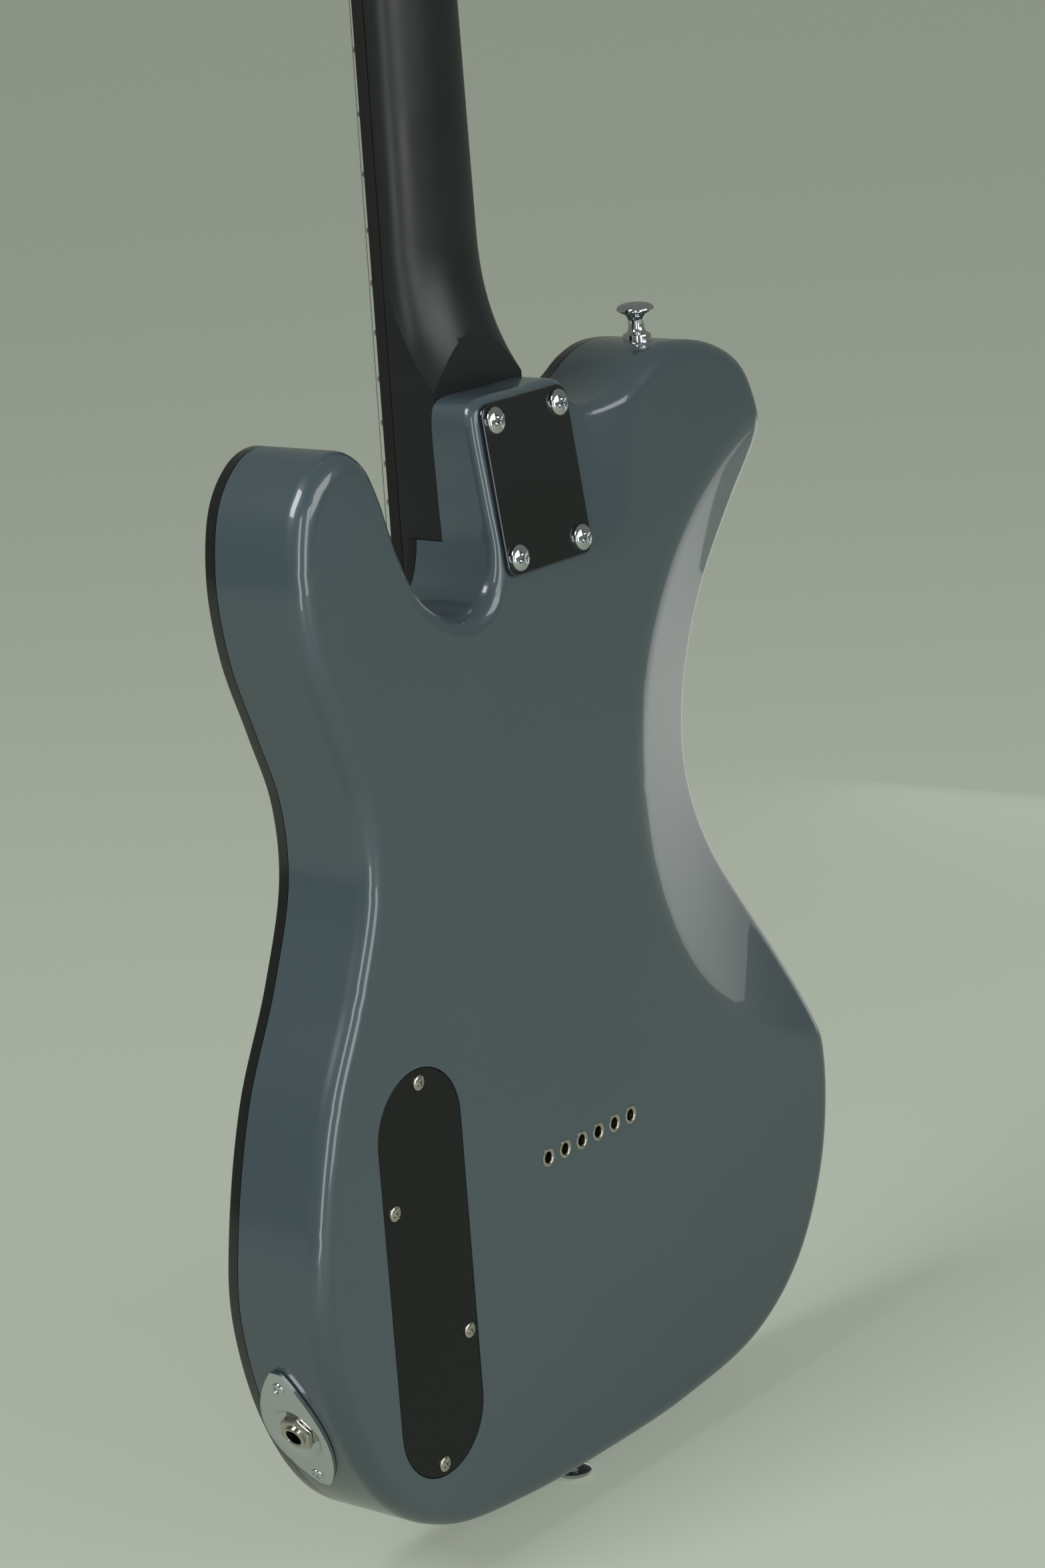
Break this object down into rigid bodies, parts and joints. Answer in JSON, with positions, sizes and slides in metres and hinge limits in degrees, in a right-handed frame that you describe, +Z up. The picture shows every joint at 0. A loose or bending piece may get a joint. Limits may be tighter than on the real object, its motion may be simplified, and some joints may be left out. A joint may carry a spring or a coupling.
{
  "type": "baritone electric guitar",
  "caption": "Solid-body baritone electric guitar with one cutaway, bolt-on neck, through-body strings, plate-covered heel, edge jack and row of turning tuners.",
  "frame": {"origin": "lowest point of the body's tail, on the plane of the flat back, on the centre line", "axes": "+Z up the neck towards the headstock, +Y out of the flat back, -Y out of the face with the strings, +X towards the treble side with the cutaway"},
  "size_m": [0.3265, 0.0676, 1.0228],
  "materials": {
    "slate_lacquer": "blue-grey slate gloss lacquer over wood",
    "black_binding": "black edge band",
    "satin_black_neck": "satin black finish on maple",
    "ebony_board": "dark oiled board with steel frets",
    "black_nut": "moulded black nut",
    "bright_steel": "plain and wound steel",
    "chrome": "polished chrome",
    "nickel": "nickel plate",
    "black_cover": "satin black sheet",
    "black_bobbin": "moulded black covers"
  },
  "bodies": {
    "guitar": {"body": "slate_lacquer", "body_binding": "black_binding", "neck": "satin_black_neck", "fretboard": "ebony_board", "nut": "black_nut", "truss_rod": "bright_steel", "string_1": "bright_steel", "string_2": "bright_steel", "string_3": "bright_steel", "string_4": "bright_steel", "string_5": "bright_steel", "string_6": "bright_steel", "neck_plate": "chrome", "jack_plate": "chrome", "strap_button_upper": "chrome", "strap_button_lower": "chrome", "bridge_plate": "chrome", "neck_screw_1": "chrome", "neck_screw_2": "chrome", "neck_screw_3": "chrome", "neck_screw_4": "chrome", "tuner_housing_1": "chrome", "tuner_housing_2": "chrome", "tuner_housing_3": "chrome", "tuner_housing_4": "chrome", "tuner_housing_5": "chrome", "tuner_housing_6": "chrome", "output_jack": "nickel", "control_pots": "nickel", "selector_switch": "nickel", "string_ferrule_1": "nickel", "string_ferrule_2": "nickel", "string_ferrule_3": "nickel", "string_ferrule_4": "nickel", "string_ferrule_5": "nickel", "string_ferrule_6": "nickel", "rear_cover": "black_cover", "neck_pickup": "black_bobbin", "bridge_pickup": "black_bobbin"},
    "volume": {"volume_knob": "chrome"},
    "tone": {"tone_knob": "chrome"},
    "lever": {"selector_lever": "chrome"},
    "saddle_1": {"bridge_saddle_1": "chrome"},
    "saddle_2": {"bridge_saddle_2": "chrome"},
    "saddle_3": {"bridge_saddle_3": "chrome"},
    "saddle_4": {"bridge_saddle_4": "chrome"},
    "saddle_5": {"bridge_saddle_5": "chrome"},
    "saddle_6": {"bridge_saddle_6": "chrome"},
    "button_1": {"tuner_button_1": "chrome"},
    "button_2": {"tuner_button_2": "chrome"},
    "button_3": {"tuner_button_3": "chrome"},
    "button_4": {"tuner_button_4": "chrome"},
    "button_5": {"tuner_button_5": "chrome"},
    "button_6": {"tuner_button_6": "chrome"},
    "post_1": {"tuner_post_1": "chrome"},
    "post_2": {"tuner_post_2": "chrome"},
    "post_3": {"tuner_post_3": "chrome"},
    "post_4": {"tuner_post_4": "chrome"},
    "post_5": {"tuner_post_5": "chrome"},
    "post_6": {"tuner_post_6": "chrome"}
  },
  "joints": [
    {"name": "tuner_1_button_turn", "type": "hinge", "parent": "guitar", "child": "button_1", "pos_m": [0.01463, -0.02625, 0.99281], "axis": [-0.9601, 0, 0.2798], "continuous": true},
    {"name": "tuner_1_post_turn", "type": "hinge", "parent": "guitar", "child": "post_1", "pos_m": [0.01258, -0.02625, 0.9858], "axis": [0, -1, 0], "continuous": true},
    {"name": "saddle_1_intonation", "type": "slide", "parent": "guitar", "child": "saddle_1", "axis": [0, 0, 1], "range_m": [0, 0.006]},
    {"name": "tuner_2_button_turn", "type": "hinge", "parent": "guitar", "child": "button_2", "pos_m": [0.00833, -0.02625, 0.96761], "axis": [-0.9601, 0, 0.2798], "continuous": true},
    {"name": "tuner_2_post_turn", "type": "hinge", "parent": "guitar", "child": "post_2", "pos_m": [0.00629, -0.02625, 0.9606], "axis": [0, -1, 0], "continuous": true},
    {"name": "saddle_2_intonation", "type": "slide", "parent": "guitar", "child": "saddle_2", "axis": [0, 0, 1], "range_m": [0, 0.006]},
    {"name": "tuner_3_button_turn", "type": "hinge", "parent": "guitar", "child": "button_3", "pos_m": [0.00175, -0.02625, 0.94241], "axis": [-0.9601, 0, 0.2798], "continuous": true},
    {"name": "tuner_3_post_turn", "type": "hinge", "parent": "guitar", "child": "post_3", "pos_m": [-0.0003, -0.02625, 0.9354], "axis": [0, -1, 0], "continuous": true},
    {"name": "saddle_3_intonation", "type": "slide", "parent": "guitar", "child": "saddle_3", "axis": [0, 0, 1], "range_m": [0, 0.006]},
    {"name": "tuner_4_button_turn", "type": "hinge", "parent": "guitar", "child": "button_4", "pos_m": [-0.00513, -0.02625, 0.91721], "axis": [-0.9601, 0, 0.2798], "continuous": true},
    {"name": "tuner_4_post_turn", "type": "hinge", "parent": "guitar", "child": "post_4", "pos_m": [-0.00717, -0.02625, 0.9102], "axis": [0, -1, 0], "continuous": true},
    {"name": "saddle_4_intonation", "type": "slide", "parent": "guitar", "child": "saddle_4", "axis": [0, 0, 1], "range_m": [0, 0.006]},
    {"name": "tuner_5_button_turn", "type": "hinge", "parent": "guitar", "child": "button_5", "pos_m": [-0.01226, -0.02625, 0.89201], "axis": [-0.9601, 0, 0.2798], "continuous": true},
    {"name": "tuner_5_post_turn", "type": "hinge", "parent": "guitar", "child": "post_5", "pos_m": [-0.01431, -0.02625, 0.885], "axis": [0, -1, 0], "continuous": true},
    {"name": "saddle_5_intonation", "type": "slide", "parent": "guitar", "child": "saddle_5", "axis": [0, 0, 1], "range_m": [0, 0.006]},
    {"name": "tuner_6_button_turn", "type": "hinge", "parent": "guitar", "child": "button_6", "pos_m": [-0.01963, -0.02625, 0.86681], "axis": [-0.9601, 0, 0.2798], "continuous": true},
    {"name": "tuner_6_post_turn", "type": "hinge", "parent": "guitar", "child": "post_6", "pos_m": [-0.02167, -0.02625, 0.8598], "axis": [0, -1, 0], "continuous": true},
    {"name": "saddle_6_intonation", "type": "slide", "parent": "guitar", "child": "saddle_6", "axis": [0, 0, 1], "range_m": [0, 0.006]},
    {"name": "volume_turn", "type": "hinge", "parent": "guitar", "child": "volume", "pos_m": [0.0995, -0.05, 0.118], "axis": [0, -1, 0], "range_deg": [0, 300]},
    {"name": "tone_turn", "type": "hinge", "parent": "guitar", "child": "tone", "pos_m": [0.0995, -0.05, 0.07], "axis": [0, -1, 0], "range_deg": [0, 300]},
    {"name": "selector_tilt", "type": "hinge", "parent": "guitar", "child": "lever", "pos_m": [0.0995, -0.0415, 0.17], "axis": [1, 0, 0], "range_deg": [-12, 12]}
  ],
  "couplings": [
    {"joint": "tuner_1_post_turn", "follows": "tuner_1_button_turn", "ratio": 0.066667},
    {"joint": "tuner_2_post_turn", "follows": "tuner_2_button_turn", "ratio": 0.066667},
    {"joint": "tuner_3_post_turn", "follows": "tuner_3_button_turn", "ratio": 0.066667},
    {"joint": "tuner_4_post_turn", "follows": "tuner_4_button_turn", "ratio": 0.066667},
    {"joint": "tuner_5_post_turn", "follows": "tuner_5_button_turn", "ratio": 0.066667},
    {"joint": "tuner_6_post_turn", "follows": "tuner_6_button_turn", "ratio": 0.066667}
  ]
}
